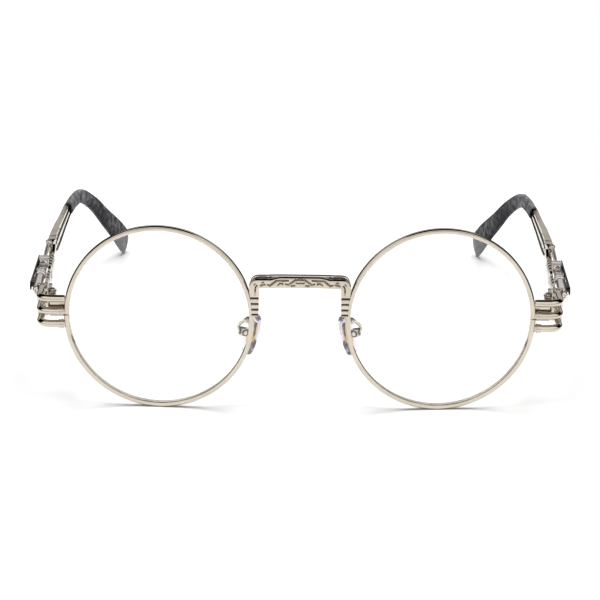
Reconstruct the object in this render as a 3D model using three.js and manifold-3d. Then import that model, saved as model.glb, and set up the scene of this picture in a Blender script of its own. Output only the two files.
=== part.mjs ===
// Round wire eyeglasses with a staple bridge, three-wire end pieces and
// ornamental folding temples.  Millimetres, +Z up, the front faces -Y and the
// temples run towards +Y.  The origin is the middle of the footprint.
import * as THREE from 'three';
import { mergeVertices } from 'three/addons/utils/BufferGeometryUtils.js';
import Module from 'manifold-3d';

const wasm = await Module();
wasm.setup();

// ---- driving dimensions ----------------------------------------------------
const LENS_DIAMETER = 49;
const BRIDGE_WIDTH = 26;
const RIM_OUTER = 25.5;
const RIM_INNER = 24.15;
const RIM_GROOVE = 24.8;
const RIM_HALF_DEPTH = 0.85;
const RIM_SPLIT = 0.3;
const EYE_X = (LENS_DIAMETER + BRIDGE_WIDTH) / 2;
const EYE_Z = RIM_OUTER;
const WRAP = THREE.MathUtils.degToRad(3.7);

const PRONG_RADIUS = 0.98;
const PRONG_SPACING = 3.55;
const PRONG_MIDDLE_Z = 26.35;
const PRONG_Y = 1.4;
const PRONG_START_X = 63.1;
const PRONG_LINE_X = 69.6;
const PRONG_BEND = 3;
const PRONG_END_Y = 10.4;

const HINGE_X = 67.6;
const HINGE_Y = 13.6;
const HINGE_KNUCKLE = 1.5;
const HINGE_LEVELS = [22.4, 24.25, 26.15, 28.1];
const HINGE_SCREW = 0.7;
const HINGE_BORE = 0.78;

const TEMPLE_SPLAY = THREE.MathUtils.degToRad(1.9);
const PLATE_INNER = 1.5;
const PLATE_OUTER = 2.4;
const PLATE_TOP = 27.4;
const PLATE_BOTTOM = 22.1;
const BARREL_X = 3.95;
const BARREL_Z = 27.4;
const BARREL_RADIUS = 1.3;
const RIVET_Y = 39;
const RIVET_Z = 27.2;
const TIP_START_Y = 72.4;

const FIT = 0.06;
const CLEARANCE = 0.15;

// ---- materials -------------------------------------------------------------
const nickel = new THREE.MeshStandardMaterial({ color: 0xd9cbb9, metalness: 1, roughness: 0.18 });
const steel = new THREE.MeshStandardMaterial({ color: 0xb9b4ac, metalness: 1, roughness: 0.25 });
const clearLens = new THREE.MeshStandardMaterial({
  color: 0xf4f8f6, metalness: 0, roughness: 0.03, transparent: true, opacity: 0.2,
});
const silicone = new THREE.MeshStandardMaterial({
  color: 0xe6e8f2, metalness: 0, roughness: 0.25, transparent: true, opacity: 0.6,
});
const blackPlastic = new THREE.MeshStandardMaterial({ color: 0x1c1d21, metalness: 0, roughness: 0.4 });

// ---- shared shape helpers --------------------------------------------------
const vec = (x, y, z) => new THREE.Vector3(x, y, z);

// Signed volume of a closed indexed mesh, positive when its faces point out.
function signedVolume(geometry) {
  const at = geometry.attributes.position;
  const index = geometry.index.array;
  const [a, b, c] = [vec(), vec(), vec()];
  let total = 0;
  for (let i = 0; i < index.length; i += 3) {
    a.fromBufferAttribute(at, index[i]);
    b.fromBufferAttribute(at, index[i + 1]);
    c.fromBufferAttribute(at, index[i + 2]);
    total += a.dot(b.cross(c)) / 6;
  }
  return total;
}

// Merges shared vertices and turns the faces outwards.
function closed(geometry) {
  geometry.deleteAttribute('normal');
  geometry.deleteAttribute('uv');
  const merged = mergeVertices(geometry, 1e-5);
  if (signedVolume(merged) < 0) {
    merged.index.array.reverse();
  }
  return merged;
}

function solid(geometry) {
  const mesh = closed(geometry);
  const vertProperties = Float32Array.from(mesh.attributes.position.array);
  const triVerts = Uint32Array.from(mesh.index.array);
  return new wasm.Manifold(new wasm.Mesh({ numProp: 3, vertProperties, triVerts }));
}

function geometryOf(manifold) {
  const mesh = manifold.getMesh();
  const geometry = new THREE.BufferGeometry();
  geometry.setAttribute('position', new THREE.BufferAttribute(mesh.vertProperties, 3));
  geometry.setIndex(new THREE.BufferAttribute(mesh.triVerts, 1));
  return geometry;
}

function join(...solids) {
  return solids.reduce((whole, piece) => whole.add(piece));
}

function cut(whole, ...tools) {
  return tools.reduce((rest, tool) => rest.subtract(tool), whole);
}

function block(x, y, z) {
  const shape = new THREE.BoxGeometry(x[1] - x[0], y[1] - y[0], z[1] - z[0]);
  return shape.translate((x[0] + x[1]) / 2, (y[0] + y[1]) / 2, (z[0] + z[1]) / 2);
}

// A round bar between two points.
function rod(from, to, radius, sides = 12) {
  const axis = to.clone().sub(from);
  const shape = new THREE.CylinderGeometry(radius, radius, axis.length(), sides);
  const turn = new THREE.Quaternion().setFromUnitVectors(vec(0, 1, 0), axis.normalize());
  const middle = from.clone().add(to).multiplyScalar(0.5);
  return shape.applyQuaternion(turn).translate(middle.x, middle.y, middle.z);
}

// A turned piece: profile points are [distance along the axis, radius].
function turned(profile, sides) {
  const points = profile.map(([along, radius]) => new THREE.Vector2(radius, along));
  return new THREE.LatheGeometry(points, sides);
}

// A ring turned about the Y axis.
function ring(inner, outer, start, end, sides) {
  const bevel = Math.min(0.25, (end - start) / 4, (outer - inner) / 3);
  return turned([
    [start, inner], [start, outer - bevel], [start + bevel, outer],
    [end - bevel, outer], [end, outer - bevel], [end, inner], [start, inner],
  ], sides);
}

function circleShape(radius, sides) {
  const shape = new THREE.Shape();
  for (let i = 0; i < sides; i += 1) {
    const angle = (2 * Math.PI * i) / sides;
    const move = i === 0 ? 'moveTo' : 'lineTo';
    shape[move](radius * Math.cos(angle), radius * Math.sin(angle));
  }
  shape.closePath();
  return shape;
}

function tube(path, radius, sides, steps) {
  return new THREE.ExtrudeGeometry(circleShape(radius, sides), { extrudePath: path, steps });
}

function polygon(points) {
  return new THREE.Shape(points.map(([x, y]) => new THREE.Vector2(x, y)));
}

// Sweeps a section: place(u, v, w) gives the point for section (u, v) at w, 0 to 1.
function sweep(shape, steps, place) {
  const body = new THREE.ExtrudeGeometry(shape, { depth: 1, steps, bevelEnabled: false, curveSegments: 5 });
  const at = body.attributes.position;
  for (let i = 0; i < at.count; i += 1) {
    const point = place(at.getX(i), at.getY(i), at.getZ(i));
    at.setXYZ(i, point.x, point.y, point.z);
  }
  return body;
}

// A flat plate whose outline is drawn in Y and Z, between two X positions.
function platePiece(shape, x0, x1) {
  return sweep(shape, 1, (u, v, w) => vec(x0 + (x1 - x0) * w, u, v));
}

function mirrored(geometry) {
  return closed(geometry.clone().scale(-1, 1, 1));
}

// ---- the scene graph -------------------------------------------------------
const eyeglasses = new THREE.Group();

function add(name, geometry, material) {
  const mesh = new THREE.Mesh(closed(geometry), material.clone());
  mesh.geometry.computeVertexNormals();
  mesh.name = name;
  eyeglasses.add(mesh);
}

// Adds a +X piece and its mirror image.
function addPair(name, geometry, material) {
  add(`${name}_left`, mirrored(geometry), material);
  add(`${name}_right`, geometry, material);
}

// ---- rims and lenses -------------------------------------------------------
const EYE_STEPS = 44;
const eyePlace = new THREE.Matrix4()
  .makeRotationZ(WRAP)
  .setPosition(EYE_X, 0, EYE_Z);

function rimGeometry() {
  const d = RIM_HALF_DEPTH;
  const groove = 0.5;
  const bevel = 0.32;
  const section = polygon([
    [RIM_INNER, -d], [RIM_OUTER - bevel, -d], [RIM_OUTER, -d + bevel],
    [RIM_OUTER, d - bevel], [RIM_OUTER - bevel, d], [RIM_INNER, d],
    [RIM_INNER, groove], [RIM_GROOVE, 0], [RIM_INNER, -groove],
  ]);
  const half = RIM_SPLIT / RIM_OUTER / 2;
  return sweep(section, EYE_STEPS, (r, y, w) => {
    const angle = half + w * 2 * (Math.PI - half);
    return vec(r * Math.cos(angle), y, r * Math.sin(angle));
  });
}

// A thin meniscus whose bevelled edge sits in the rim's groove.
function lensGeometry() {
  const curve = 265;
  const edge = RIM_INNER - 0.1;
  const thickness = 1.5;
  const bulge = (r) => (edge * edge - r * r) / (2 * curve);
  const front = (r) => -thickness / 2 - bulge(r);
  const back = (r) => thickness / 2 - bulge(r);
  const stations = [13];
  return turned([
    [front(0), 0], ...stations.map((r) => [front(r), r]), [front(edge), edge],
    [-0.36, edge], [0, RIM_GROOVE - 0.2], [0.36, edge],
    [back(edge), edge], ...stations.reverse().map((r) => [back(r), r]), [back(0), 0],
  ], EYE_STEPS);
}

addPair('rim', rimGeometry().applyMatrix4(eyePlace), nickel);
addPair('lens', lensGeometry().applyMatrix4(eyePlace), clearLens);

// ---- bridge ----------------------------------------------------------------
const BRIDGE_FRONT = -4.0;
const BRIDGE_BACK = -2.65;
const LEG_BOTTOM = 27.3;
const LEG_GROOVES = [32.3, 30.75, 29.2, 27.65];

function bridgePlateGeometry() {
  const shape = new THREE.Shape();
  shape.moveTo(10.95, LEG_BOTTOM);
  shape.lineTo(12.8, LEG_BOTTOM);
  shape.quadraticCurveTo(12.9, 31, 13.5, 34.2);
  shape.lineTo(13.3, 36.3);
  shape.lineTo(12.1, 37.3);
  shape.quadraticCurveTo(0, 38.2, -12.1, 37.3);
  shape.lineTo(-13.3, 36.3);
  shape.lineTo(-13.5, 34.2);
  shape.quadraticCurveTo(-12.9, 31, -12.8, LEG_BOTTOM);
  shape.lineTo(-10.95, LEG_BOTTOM);
  shape.lineTo(-10.85, 34.2);
  shape.quadraticCurveTo(-10.75, 34.9, -9.9, 35.0);
  shape.quadraticCurveTo(0, 35.4, 9.9, 35.0);
  shape.quadraticCurveTo(10.75, 34.9, 10.85, 34.2);
  shape.closePath();
  const options = { depth: BRIDGE_BACK - BRIDGE_FRONT, bevelEnabled: false, curveSegments: 6 };
  const plate = solid(new THREE.ExtrudeGeometry(shape, options)
    .rotateX(Math.PI / 2)
    .translate(0, BRIDGE_BACK, 0));
  const grooves = LEG_GROOVES.flatMap((z) => [-12, 12].map((x) => solid(
    block([x - 2, x + 2], [BRIDGE_FRONT - 1, BRIDGE_FRONT + 0.4], [z - 0.16, z + 0.16]),
  )));
  return geometryOf(cut(plate, ...grooves));
}

function bridgeRailGeometry() {
  const end = vec(12.9, -1.7, 35.2);
  const shoulder = vec(12.1, -1.75, 37.35);
  const top = vec(8.5, -1.8, 37.75);
  const middle = vec(0, -1.8, 37.85);
  const over = [end, shoulder, top, middle];
  const back = over.slice(0, 3).reverse().map((p) => vec(-p.x, p.y, p.z));
  const path = new THREE.CatmullRomCurve3([...over, ...back], false, 'centripetal');
  return tube(path, 0.55, 8, 18);
}

add('bridge_plate', bridgePlateGeometry(), nickel);
add('bridge_rail', bridgeRailGeometry(), nickel);

// ---- three-wire end pieces -------------------------------------------------
const prongHeights = {
  upper: PRONG_MIDDLE_Z + PRONG_SPACING,
  middle: PRONG_MIDDLE_Z,
  lower: PRONG_MIDDLE_Z - PRONG_SPACING,
};

// A wire that runs out from the rim, turns the corner and runs back.
function prongGeometry(z) {
  const start = vec(PRONG_START_X, PRONG_Y, z);
  const bend = vec(PRONG_LINE_X - PRONG_BEND, PRONG_Y, z);
  const corner = vec(PRONG_LINE_X, PRONG_Y, z);
  const turnedPoint = vec(PRONG_LINE_X, PRONG_Y + PRONG_BEND, z);
  const end = vec(PRONG_LINE_X, PRONG_END_Y, z);
  const path = new THREE.CurvePath();
  path.add(new THREE.LineCurve3(start, bend));
  path.add(new THREE.QuadraticBezierCurve3(bend, corner, turnedPoint));
  path.add(new THREE.LineCurve3(turnedPoint, end));
  return tube(path, PRONG_RADIUS, 8, 11);
}

const COLLAR_OUTER = 1.35;
const COLLAR_LENGTH = 1.3;

function prongCollarGeometry(z) {
  return ring(PRONG_RADIUS + FIT + 0.06, COLLAR_OUTER, 0, COLLAR_LENGTH, 12)
    .rotateZ(-Math.PI / 2)
    .translate(PRONG_START_X, PRONG_Y, z);
}

// Each rim end carries half of the closing block, which one screw pulls together.
const LOCK_SCREW = { x: 65.4, y: 3.9, radius: 0.55, head: 0.95 };
const LOCK_X = [62, 66.9];
const LOCK_Y = [2.85, 5.0];
const LOCK_TOP = 29.2;
const LOCK_BOTTOM = 24.45;
const LOCK_GAP = 0.1;

function lockGeometry(z) {
  const { x, y, radius } = LOCK_SCREW;
  const bore = rod(vec(x, y, LOCK_BOTTOM - 1), vec(x, y, LOCK_TOP + 1), radius + FIT);
  return geometryOf(cut(solid(block(LOCK_X, LOCK_Y, z)), solid(bore)));
}

// A screw with a round head and a shank, standing upright at the origin.
function screwGeometry(radius, head, length, headHeight, sides = 12) {
  return turned([
    [-length, 0], [-length, radius], [0, radius], [0, head],
    [headHeight * 0.6, head], [headHeight, head * 0.7], [headHeight, 0],
  ], sides);
}

function lockScrewGeometry() {
  const { x, y, radius, head } = LOCK_SCREW;
  return screwGeometry(radius, head, LOCK_TOP - LOCK_BOTTOM, 0.55)
    .rotateX(Math.PI / 2)
    .translate(x, y, LOCK_TOP + 0.05);
}

for (const [level, z] of Object.entries(prongHeights)) {
  addPair(`prong_${level}`, prongGeometry(z), nickel);
}
addPair('prong_collar_middle', prongCollarGeometry(prongHeights.middle), nickel);
addPair('prong_collar_lower', prongCollarGeometry(prongHeights.lower), nickel);
addPair('rim_lock_upper', lockGeometry([EYE_Z + LOCK_GAP, LOCK_TOP]), nickel);
addPair('rim_lock_lower', lockGeometry([LOCK_BOTTOM, EYE_Z - LOCK_GAP]), nickel);
addPair('rim_screw', lockScrewGeometry(), steel);

// ---- hinge -----------------------------------------------------------------
const hingeRod = (z0, z1, radius) => solid(
  rod(vec(HINGE_X, HINGE_Y, z0), vec(HINGE_X, HINGE_Y, z1), radius, 16),
);
const hingeBore = () => hingeRod(HINGE_LEVELS[0] - 2, HINGE_LEVELS[3] + 2, HINGE_BORE);

// The front leaf: a post behind the three wires with two knuckles.
function hingeBlockGeometry() {
  const [low, midLow, midHigh, high] = HINGE_LEVELS;
  const back = HINGE_Y - HINGE_KNUCKLE - CLEARANCE;
  const front = PRONG_END_Y + 0.1;
  const post = block([68.1, 71.1], [front, back], [21.7, 30.8]);
  const cheek = block([69.4, 71.1], [back - 0.5, HINGE_Y + 0.1], [21.9, 28.6]);
  const levels = [[low, midLow - 0.05], [midHigh + 0.05, high]];
  const knuckles = levels.flatMap(([z0, z1]) => [
    hingeRod(z0, z1, HINGE_KNUCKLE),
    solid(block([HINGE_X - HINGE_KNUCKLE, HINGE_X + 1.2], [back - 1, HINGE_Y], [z0, z1])),
  ]);
  return geometryOf(cut(join(solid(post), solid(cheek), ...knuckles), hingeBore()));
}

function hingeScrewGeometry() {
  const [low, , , high] = HINGE_LEVELS;
  return screwGeometry(HINGE_SCREW, 1.15, high - low + 0.1, 0.6, 16)
    .rotateX(Math.PI / 2)
    .translate(HINGE_X, HINGE_Y, high + 0.05);
}

addPair('hinge_block', hingeBlockGeometry(), nickel);
addPair('hinge_screw', hingeScrewGeometry(), steel);

// ---- nose pads -------------------------------------------------------------
// Pad frame: x away from the nose, y across the pad, z up the pad.
const PAD_TILT = THREE.MathUtils.degToRad(-17);
const PAD_TURN = THREE.MathUtils.degToRad(-20);
const padPlace = new THREE.Matrix4()
  .makeRotationFromEuler(new THREE.Euler(0, PAD_TILT, PAD_TURN, 'ZYX'))
  .setPosition(13.85, 6.2, 19.1);
const PAD = { length: 12.2, width: 5.8, thick: 1.6 };
const PAD_PIVOT = 1.25;

function padOutline(shrink) {
  const half = PAD.length / 2 - shrink;
  const wide = PAD.width / 2 - shrink;
  const shape = new THREE.Shape();
  shape.moveTo(0, -half);
  shape.bezierCurveTo(wide * 1.25, -half, wide * 1.1, 0, wide * 0.9, half * 0.5);
  shape.bezierCurveTo(wide * 0.7, half, -wide * 0.7, half, -wide * 0.9, half * 0.5);
  shape.bezierCurveTo(-wide * 1.1, 0, -wide * 1.25, -half, 0, -half);
  return shape;
}

// The insert's tab is cast into the pad and swings between the box's cheeks.
const insertTab = (grow) => block(
  [-0.9 - grow, 1.75], [-0.35 - grow, 0.35 + grow], [-0.8 - grow, 0.8 + grow],
);

function nosePadGeometry() {
  const edge = 0.4;
  const body = new THREE.ExtrudeGeometry(padOutline(edge), {
    depth: PAD.thick - 2 * edge,
    bevelThickness: edge,
    bevelSize: edge,
    bevelSegments: 1,
    curveSegments: 6,
  })
    .applyMatrix4(new THREE.Matrix4().makeBasis(vec(0, 1, 0), vec(0, 0, 1), vec(1, 0, 0)))
    .translate(-PAD.thick + edge, 0, 0);
  return geometryOf(cut(solid(body), solid(insertTab(0.06))));
}

function padInsertGeometry() {
  const bore = rod(vec(PAD_PIVOT, -2, 0), vec(PAD_PIVOT, 2, 0), 0.43);
  return geometryOf(cut(solid(insertTab(0)), solid(bore)));
}

function padBoxGeometry() {
  const outside = block([0.5, 2.5], [-1.05, 1.05], [-1.1, 1.1]);
  const inside = block([0, 2.05], [-0.45, 0.45], [-2, 2]);
  const bore = rod(vec(PAD_PIVOT, -2, 0), vec(PAD_PIVOT, 2, 0), 0.43);
  return geometryOf(cut(solid(outside), solid(inside), solid(bore)));
}

function padScrewGeometry() {
  return screwGeometry(0.36, 0.62, 2.1, 0.35)
    .rotateX(Math.PI)
    .translate(PAD_PIVOT, -1.1, 0);
}

function padArmGeometry() {
  const seat = vec(2.7, 0, 0.1).applyMatrix4(padPlace);
  const path = new THREE.CatmullRomCurve3([
    vec(13.75, 0.6, 24.7), vec(14.4, 1.9, 24.4), vec(15.9, 3.6, 23.0),
    vec(17.2, 5.4, 20.6), seat,
  ], false, 'centripetal');
  return tube(path, 0.42, 8, 10);
}

addPair('pad_arm', padArmGeometry(), nickel);
addPair('pad_box', padBoxGeometry().applyMatrix4(padPlace), nickel);
addPair('pad_screw', padScrewGeometry().applyMatrix4(padPlace), steel);
addPair('pad_insert', padInsertGeometry().applyMatrix4(padPlace), steel);
addPair('nose_pad', nosePadGeometry().applyMatrix4(padPlace), silicone);

// ---- temples ---------------------------------------------------------------
// Temple frame: the hinge axis is its origin and y runs along the temple.
const templePlace = new THREE.Matrix4()
  .makeRotationZ(-TEMPLE_SPLAY)
  .setPosition(HINGE_X, HINGE_Y, 0);
const fromTemple = (geometry) => geometry.applyMatrix4(templePlace);

function templeHingeGeometry() {
  const [, low, high] = HINGE_LEVELS;
  const leafX = [0.25, PLATE_INNER - CLEARANCE];
  const knuckle = rod(vec(0, 0, low), vec(0, 0, high), HINGE_KNUCKLE, 16);
  const web = block(leafX, [0.9, 2.4], [low, high]);
  const leaf = block(leafX, [1.95, 9], [22.5, 27]);
  const bore = rod(vec(0, 0, low - 1), vec(0, 0, high + 1), HINGE_BORE, 16);
  return geometryOf(cut(join(solid(knuckle), solid(web), solid(leaf)), solid(bore)));
}

// Notches cut slantwise across the top edge of the filigree plate, in two groups.
const NOTCH = { depth: 1.6, lean: 1.4, half: 0.5, pitch: 2.35, groups: [[12.2, 3], [24.4, 4]] };

function notchSolids() {
  const { depth, lean, half, pitch, groups } = NOTCH;
  return groups.flatMap(([start, count]) => Array.from({ length: count }, (_, i) => {
    const y = start + i * pitch;
    const plan = polygon([
      [PLATE_INNER - 0.1, y - half], [PLATE_OUTER + 0.1, y - half + lean],
      [PLATE_OUTER + 0.1, y + half + lean], [PLATE_INNER - 0.1, y + half],
    ]);
    return solid(sweep(plan, 1, (u, v, w) => vec(u, v, PLATE_TOP - depth + (depth + 1) * w)));
  }));
}

function filigreeGeometry() {
  const eye = 1.4;
  const shape = new THREE.Shape();
  shape.moveTo(1.95, PLATE_BOTTOM);
  shape.lineTo(32, PLATE_BOTTOM + 0.9);
  shape.quadraticCurveTo(RIVET_Y + 0.4, PLATE_BOTTOM + 1.6, RIVET_Y + eye, RIVET_Z);
  shape.absarc(RIVET_Y, RIVET_Z, eye, 0, Math.PI * 0.55);
  shape.lineTo(36, PLATE_TOP);
  shape.lineTo(1.95, PLATE_TOP);
  shape.closePath();
  const through = (y, z, radius) => solid(rod(vec(0, y, z), vec(4, y, z), radius));
  const shelf = block([PLATE_INNER + 0.1, PLATE_OUTER + 0.85], [29.2, 37.3], [23.4, 26.7]);
  return geometryOf(cut(
    join(solid(platePiece(shape, PLATE_INNER, PLATE_OUTER)), solid(shelf)),
    solid(block([0, 4], [20.2, 23.0], [24, 26.4])),
    through(9.3, 25.6, 0.5),
    through(35.2, 25.2, 0.55),
    through(RIVET_Y, RIVET_Z, RIVET.hole),
    ...notchSolids(),
  ));
}

// Turned pieces of the barrel are threaded on one rod, along the barrel's axis.
const onBarrel = (geometry) => fromTemple(geometry.translate(BARREL_X, 0, BARREL_Z));
const BARREL_ROD = 0.55;
const BARREL_BORE = BARREL_ROD + FIT + 0.04;

function barrelRodGeometry() {
  const bend = vec(0, 29.5, 0);
  const end = vec(-0.5, 39.4, 1.65);
  const path = new THREE.CurvePath();
  path.add(new THREE.LineCurve3(vec(0, 1.5, 0), bend));
  path.add(new THREE.CubicBezierCurve3(bend, vec(0, 33, 0), vec(-0.3, 34, 1.45), end));
  const ball = new THREE.SphereGeometry(0.92, 10, 6).translate(end.x, end.y, end.z);
  return geometryOf(join(solid(tube(path, BARREL_ROD, 8, 14)), solid(ball)));
}

function barrelSleeveGeometry() {
  const r = BARREL_RADIUS;
  return turned([
    [1.3, BARREL_BORE], [1.3, r - 0.35], [1.8, r - 0.05], [6, r],
    [13.2, r], [13.6, r - 0.25], [13.6, BARREL_BORE], [1.3, BARREL_BORE],
  ], 14);
}

function barrelRingsGeometry() {
  const r = BARREL_RADIUS + 0.2;
  return turned([
    [13.7, BARREL_BORE], [13.7, r - 0.3], [14, r], [14.9, r], [15.3, r - 0.35],
    [15.7, r], [16.6, r], [16.9, r - 0.3], [16.9, BARREL_BORE], [13.7, BARREL_BORE],
  ], 14);
}

function crossWrapGeometry() {
  const r = BARREL_RADIUS;
  return turned([
    [17, BARREL_BORE], [17, r - 0.3], [18.3, r], [20.7, r - 0.35], [23.1, r],
    [24.4, r - 0.3], [24.4, BARREL_BORE], [17, BARREL_BORE],
  ], 12);
}

function barrelEndGeometry() {
  const body = block([PLATE_OUTER + 0.1 - BARREL_X, 1.15], [24.5, 28.6], [-1.3, 1.3]);
  const bore = rod(vec(0, 24, 0), vec(0, 30, 0), BARREL_BORE);
  return geometryOf(cut(solid(body), solid(bore)));
}

// The outer plate is a narrow strip beside the barrel, with a round front end.
// Two bosses on its inner face carry it on the sleeve and on the end block.
function sidePlateGeometry() {
  const shape = new THREE.Shape();
  shape.moveTo(28.6, 26.4);
  shape.lineTo(28.6, 28.8);
  shape.lineTo(6, 28.55);
  shape.absarc(5.9, 27.35, 1.2, Math.PI / 2, Math.PI * 1.5);
  shape.closePath();
  const thick = 0.4;
  const plate = sweep(shape, 1, (u, v, w) => vec(5.95 - 0.028 * u + thick * w, u, v));
  const middle = [BARREL_Z - 0.5, BARREL_Z + 0.5];
  const sleeveBoss = block([BARREL_X + BARREL_RADIUS + 0.05, 5.8], [6, 12], middle);
  const endBoss = block([BARREL_X + 1.2, 5.4], [24.8, 28.3], middle);
  return geometryOf(join(solid(plate), solid(sleeveBoss), solid(endBoss)));
}

// The flush pin that joins the filigree plate and the temple bar.
const RIVET = { pin: 0.6, hole: 0.68 };

function rivetGeometry() {
  const end = BAR_FRONT_X + BAR_FRONT_HALF;
  return rod(vec(PLATE_INNER, RIVET_Y, RIVET_Z), vec(end, RIVET_Y, RIVET_Z), RIVET.pin);
}

// ---- temple bar and tip ----------------------------------------------------
const BAR_FRONT_HALF = 0.55;
const BAR_FRONT_X = PLATE_OUTER + CLEARANCE + BAR_FRONT_HALF;
// Stations along the bar: middle x, y, middle z, half thickness, height.
const BAR_STATIONS = [
  [BAR_FRONT_X, 37.6, 27.2, BAR_FRONT_HALF, 1.9], [BAR_FRONT_X + 0.03, 40.3, 27.15, 0.58, 2.0],
  [2.98, 41.5, 27.2, 0.85, 3.3], [2.8, 43.4, 26.85, 1.15, 4.3],
  [2.73, 46.5, 26.48, 1.0, 5.44], [2.45, 50.7, 26.7, 0.93, 5.4],
  [2.19, 55, 26.95, 0.88, 5.0], [1.35, 64, 27.7, 0.75, 3.9],
  [0.45, TIP_START_Y - 0.15, 28.85, 0.75, 3.2],
];
const BAR_LEAN = 0.6;
const tipLine = new THREE.CatmullRomCurve3([
  vec(-0.1, TIP_START_Y, 29.1), vec(-1.35, 76.9, 30.1), vec(-2.95, 81.4, 30.3),
  vec(-6.25, 90.9, 25.2), vec(-9.4, 100.6, 17.7), vec(-12.4, 112.2, 9.7),
  vec(-14.9, 120.4, 2.87),
], false, 'centripetal');

// A point beside a line: u across it, v in the upright plane through it.
function beside(line, w, u, v) {
  const at = line.getPointAt(w);
  const along = line.getTangentAt(w);
  const across = vec(along.y, -along.x, 0).normalize();
  const upright = across.clone().cross(along);
  return at.addScaledVector(across, u).addScaledVector(upright, v);
}

// The tang is the bar's own tail: the core that stiffens the plastic tip.
// It starts a little ahead of the tip, where it is one with the bar.
const TANG = { thick: [0, 0.75], tall: [-1.1, 1.1], lead: 1.5, length: 27 };

function tangGeometry(grow) {
  const thick = [TANG.thick[0] - grow, TANG.thick[1] + grow];
  const tall = [TANG.tall[0] - grow, TANG.tall[1] + grow];
  const section = polygon([
    [thick[1], tall[0]], [thick[1], tall[1]], [thick[0], tall[1]], [thick[0], tall[0]],
  ]);
  const ahead = -TANG.lead - grow;
  const reach = TANG.length + grow;
  const mouth = tipLine.getTangentAt(0);
  const whole = tipLine.getLength();
  return sweep(section, 9, (u, v, w) => {
    const along = ahead + (reach - ahead) * w;
    const point = beside(tipLine, Math.max(along, 0) / whole, u, v);
    return point.addScaledVector(mouth, Math.min(along, 0));
  });
}

// A bar with two grooves along its inner face, which leans in towards its foot.
function barGeometry() {
  const line = new THREE.CatmullRomCurve3(
    BAR_STATIONS.map(([x, y, z]) => vec(x, y, z)), false, 'centripetal',
  );
  const form = new THREE.CatmullRomCurve3(
    BAR_STATIONS.map(([, y, , half, height]) => vec(half, y, height)), false, 'centripetal',
  );
  const section = polygon([
    [1, -0.5], [1, 0.5], [-1, 0.5], [-1, 0.27], [-0.7, 0.18], [-1, 0.09],
    [-1, -0.18], [-0.7, -0.27], [-1, -0.36], [-1, -0.5],
  ]);
  const bar = sweep(section, BAR_STATIONS.length * 2 - 2, (u, v, w) => {
    const { x: half, z: height } = form.getPoint(w);
    const along = line.getTangent(w);
    const across = vec(along.y, -along.x, 0).normalize();
    const lean = u < 0 ? BAR_LEAN * (0.5 - v) * Math.min(1, w * 2) : 0;
    return line.getPoint(w)
      .addScaledVector(across, u * half - lean)
      .addScaledVector(across.clone().cross(along), v * height);
  });
  const pinHole = rod(vec(0, RIVET_Y, RIVET_Z), vec(5, RIVET_Y, RIVET_Z), RIVET.hole);
  return geometryOf(cut(join(solid(bar), solid(tangGeometry(0))), solid(pinHole)));
}

const TIP = { thick: 2.5, startTall: 4.0, archTall: 4.2, endTall: 7.9, round: 0.93 };

function tipGeometry() {
  const sides = 12;
  const squared = (value) => Math.sign(value) * Math.abs(value) ** 0.7;
  const corners = Array.from({ length: sides }, (_, i) => (2 * Math.PI * (i + 0.5)) / sides);
  const section = polygon(corners.map((a) => [squared(Math.cos(a)), squared(Math.sin(a))]));
  const { lerp, smoothstep } = THREE.MathUtils;
  return sweep(section, 18, (u, v, w) => {
    const front = lerp(TIP.startTall, TIP.archTall, smoothstep(w, 0, 0.2));
    const tall = lerp(front, TIP.endTall, smoothstep(w, 0.25, 1.05)) / 2;
    const end = Math.max(0, (w - TIP.round) / (1 - TIP.round));
    const fade = Math.sqrt(1 - end * end * 0.97);
    const lift = v > 0 ? fade : 1 - 0.06 * end;
    return beside(tipLine, w, u * (TIP.thick / 2) * (0.4 + 0.6 * fade), v * tall * lift);
  });
}

function tipWithSocketGeometry() {
  return geometryOf(cut(solid(tipGeometry()), solid(tangGeometry(0.12))));
}

addPair('temple_hinge', fromTemple(templeHingeGeometry()), nickel);
addPair('filigree_plate', fromTemple(filigreeGeometry()), nickel);
addPair('barrel_rod', onBarrel(barrelRodGeometry()), nickel);
addPair('barrel_sleeve', onBarrel(barrelSleeveGeometry()), nickel);
addPair('barrel_rings', onBarrel(barrelRingsGeometry()), nickel);
addPair('cross_wrap', onBarrel(crossWrapGeometry()), nickel);
addPair('barrel_end', onBarrel(barrelEndGeometry()), nickel);
addPair('side_plate', fromTemple(sidePlateGeometry()), nickel);
addPair('temple_rivet', fromTemple(rivetGeometry()), steel);
addPair('temple_bar', fromTemple(barGeometry()), nickel);
addPair('temple_tip', fromTemple(tipWithSocketGeometry()), blackPlastic);

// ---- origin: the middle of the footprint -----------------------------------
const bounds = new THREE.Box3().setFromObject(eyeglasses);
eyeglasses.position.set(0, -(bounds.min.y + bounds.max.y) / 2, -bounds.min.z);

export default eyeglasses;
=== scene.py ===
"""Round wire eyeglasses: the looks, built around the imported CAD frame.

Shapes are written in millimetres in the design's own frame: +X right, +Y from the front back
along the temples, +Z up, Y = 0 at the middle of the rims.  Each right-hand piece is also
mirrored to the left.
"""

import math

import bmesh
import bpy
from mathutils import Matrix, Vector

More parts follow.
